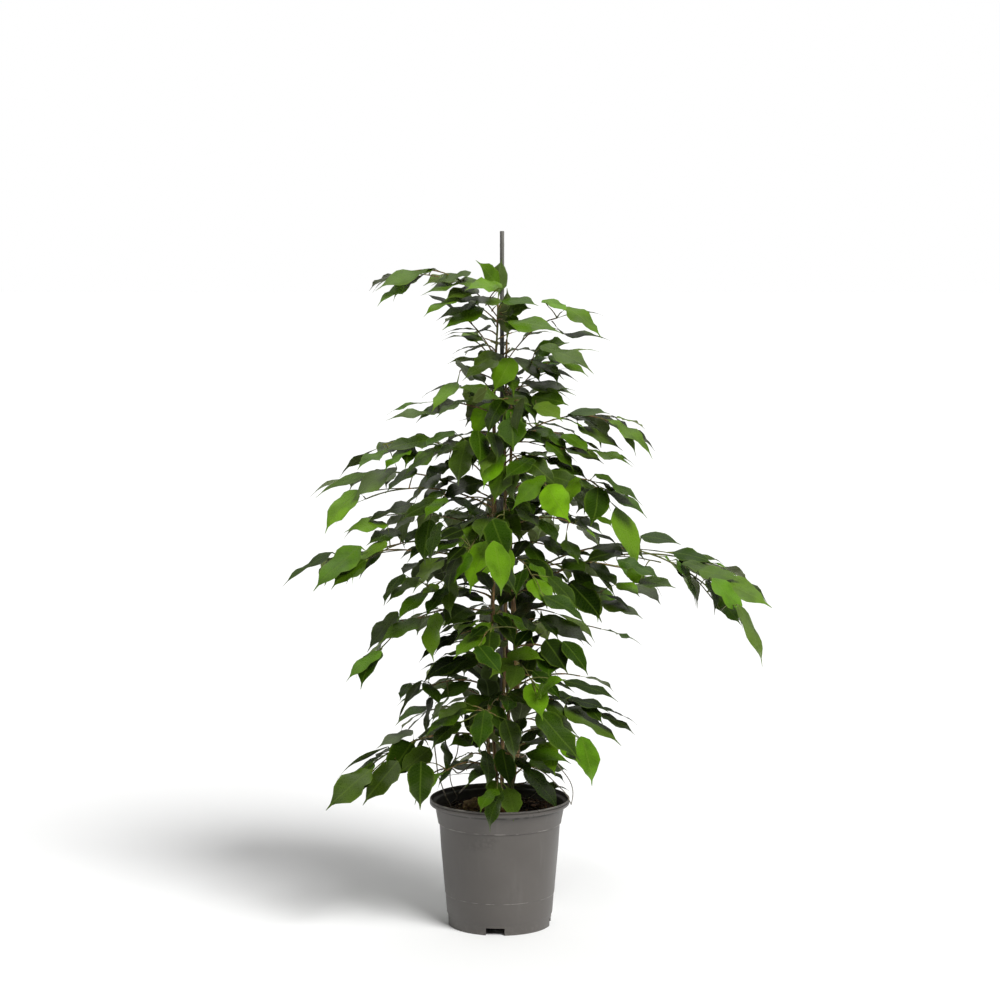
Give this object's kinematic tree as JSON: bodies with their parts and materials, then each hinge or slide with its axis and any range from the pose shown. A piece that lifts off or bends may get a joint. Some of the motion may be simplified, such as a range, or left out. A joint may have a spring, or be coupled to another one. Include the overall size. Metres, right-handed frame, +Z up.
{
  "type": "potted weeping fig",
  "caption": "Bushy weeping fig with arching, drooping leafy branches on slim stems round a cane, growing in soil in a round tapered nursery pot.",
  "frame": {"origin": "centre of the pot's underside, on the surface it stands on", "axes": "+Z up along the pot's axis and the cane; the plant's best side faces -Y and its long spray reaches towards +X"},
  "size_m": [0.721, 0.484, 1.038],
  "materials": {
    "pot": "satin taupe-grey moulded plastic",
    "soil": "moist dark peat compost, crumbly",
    "cane": "weathered grey cane, dull",
    "foliage": "glossy dark green leaves on brown twigs"
  },
  "bodies": {
    "root": {"pot": "pot", "soil": "soil", "stake": "cane", "leafy_stem_a": "foliage", "leafy_stem_b": "foliage", "leafy_stem_c": "foliage", "leafy_stem_d": "foliage", "leafy_stem_e": "foliage"}
  },
  "joints": []
}
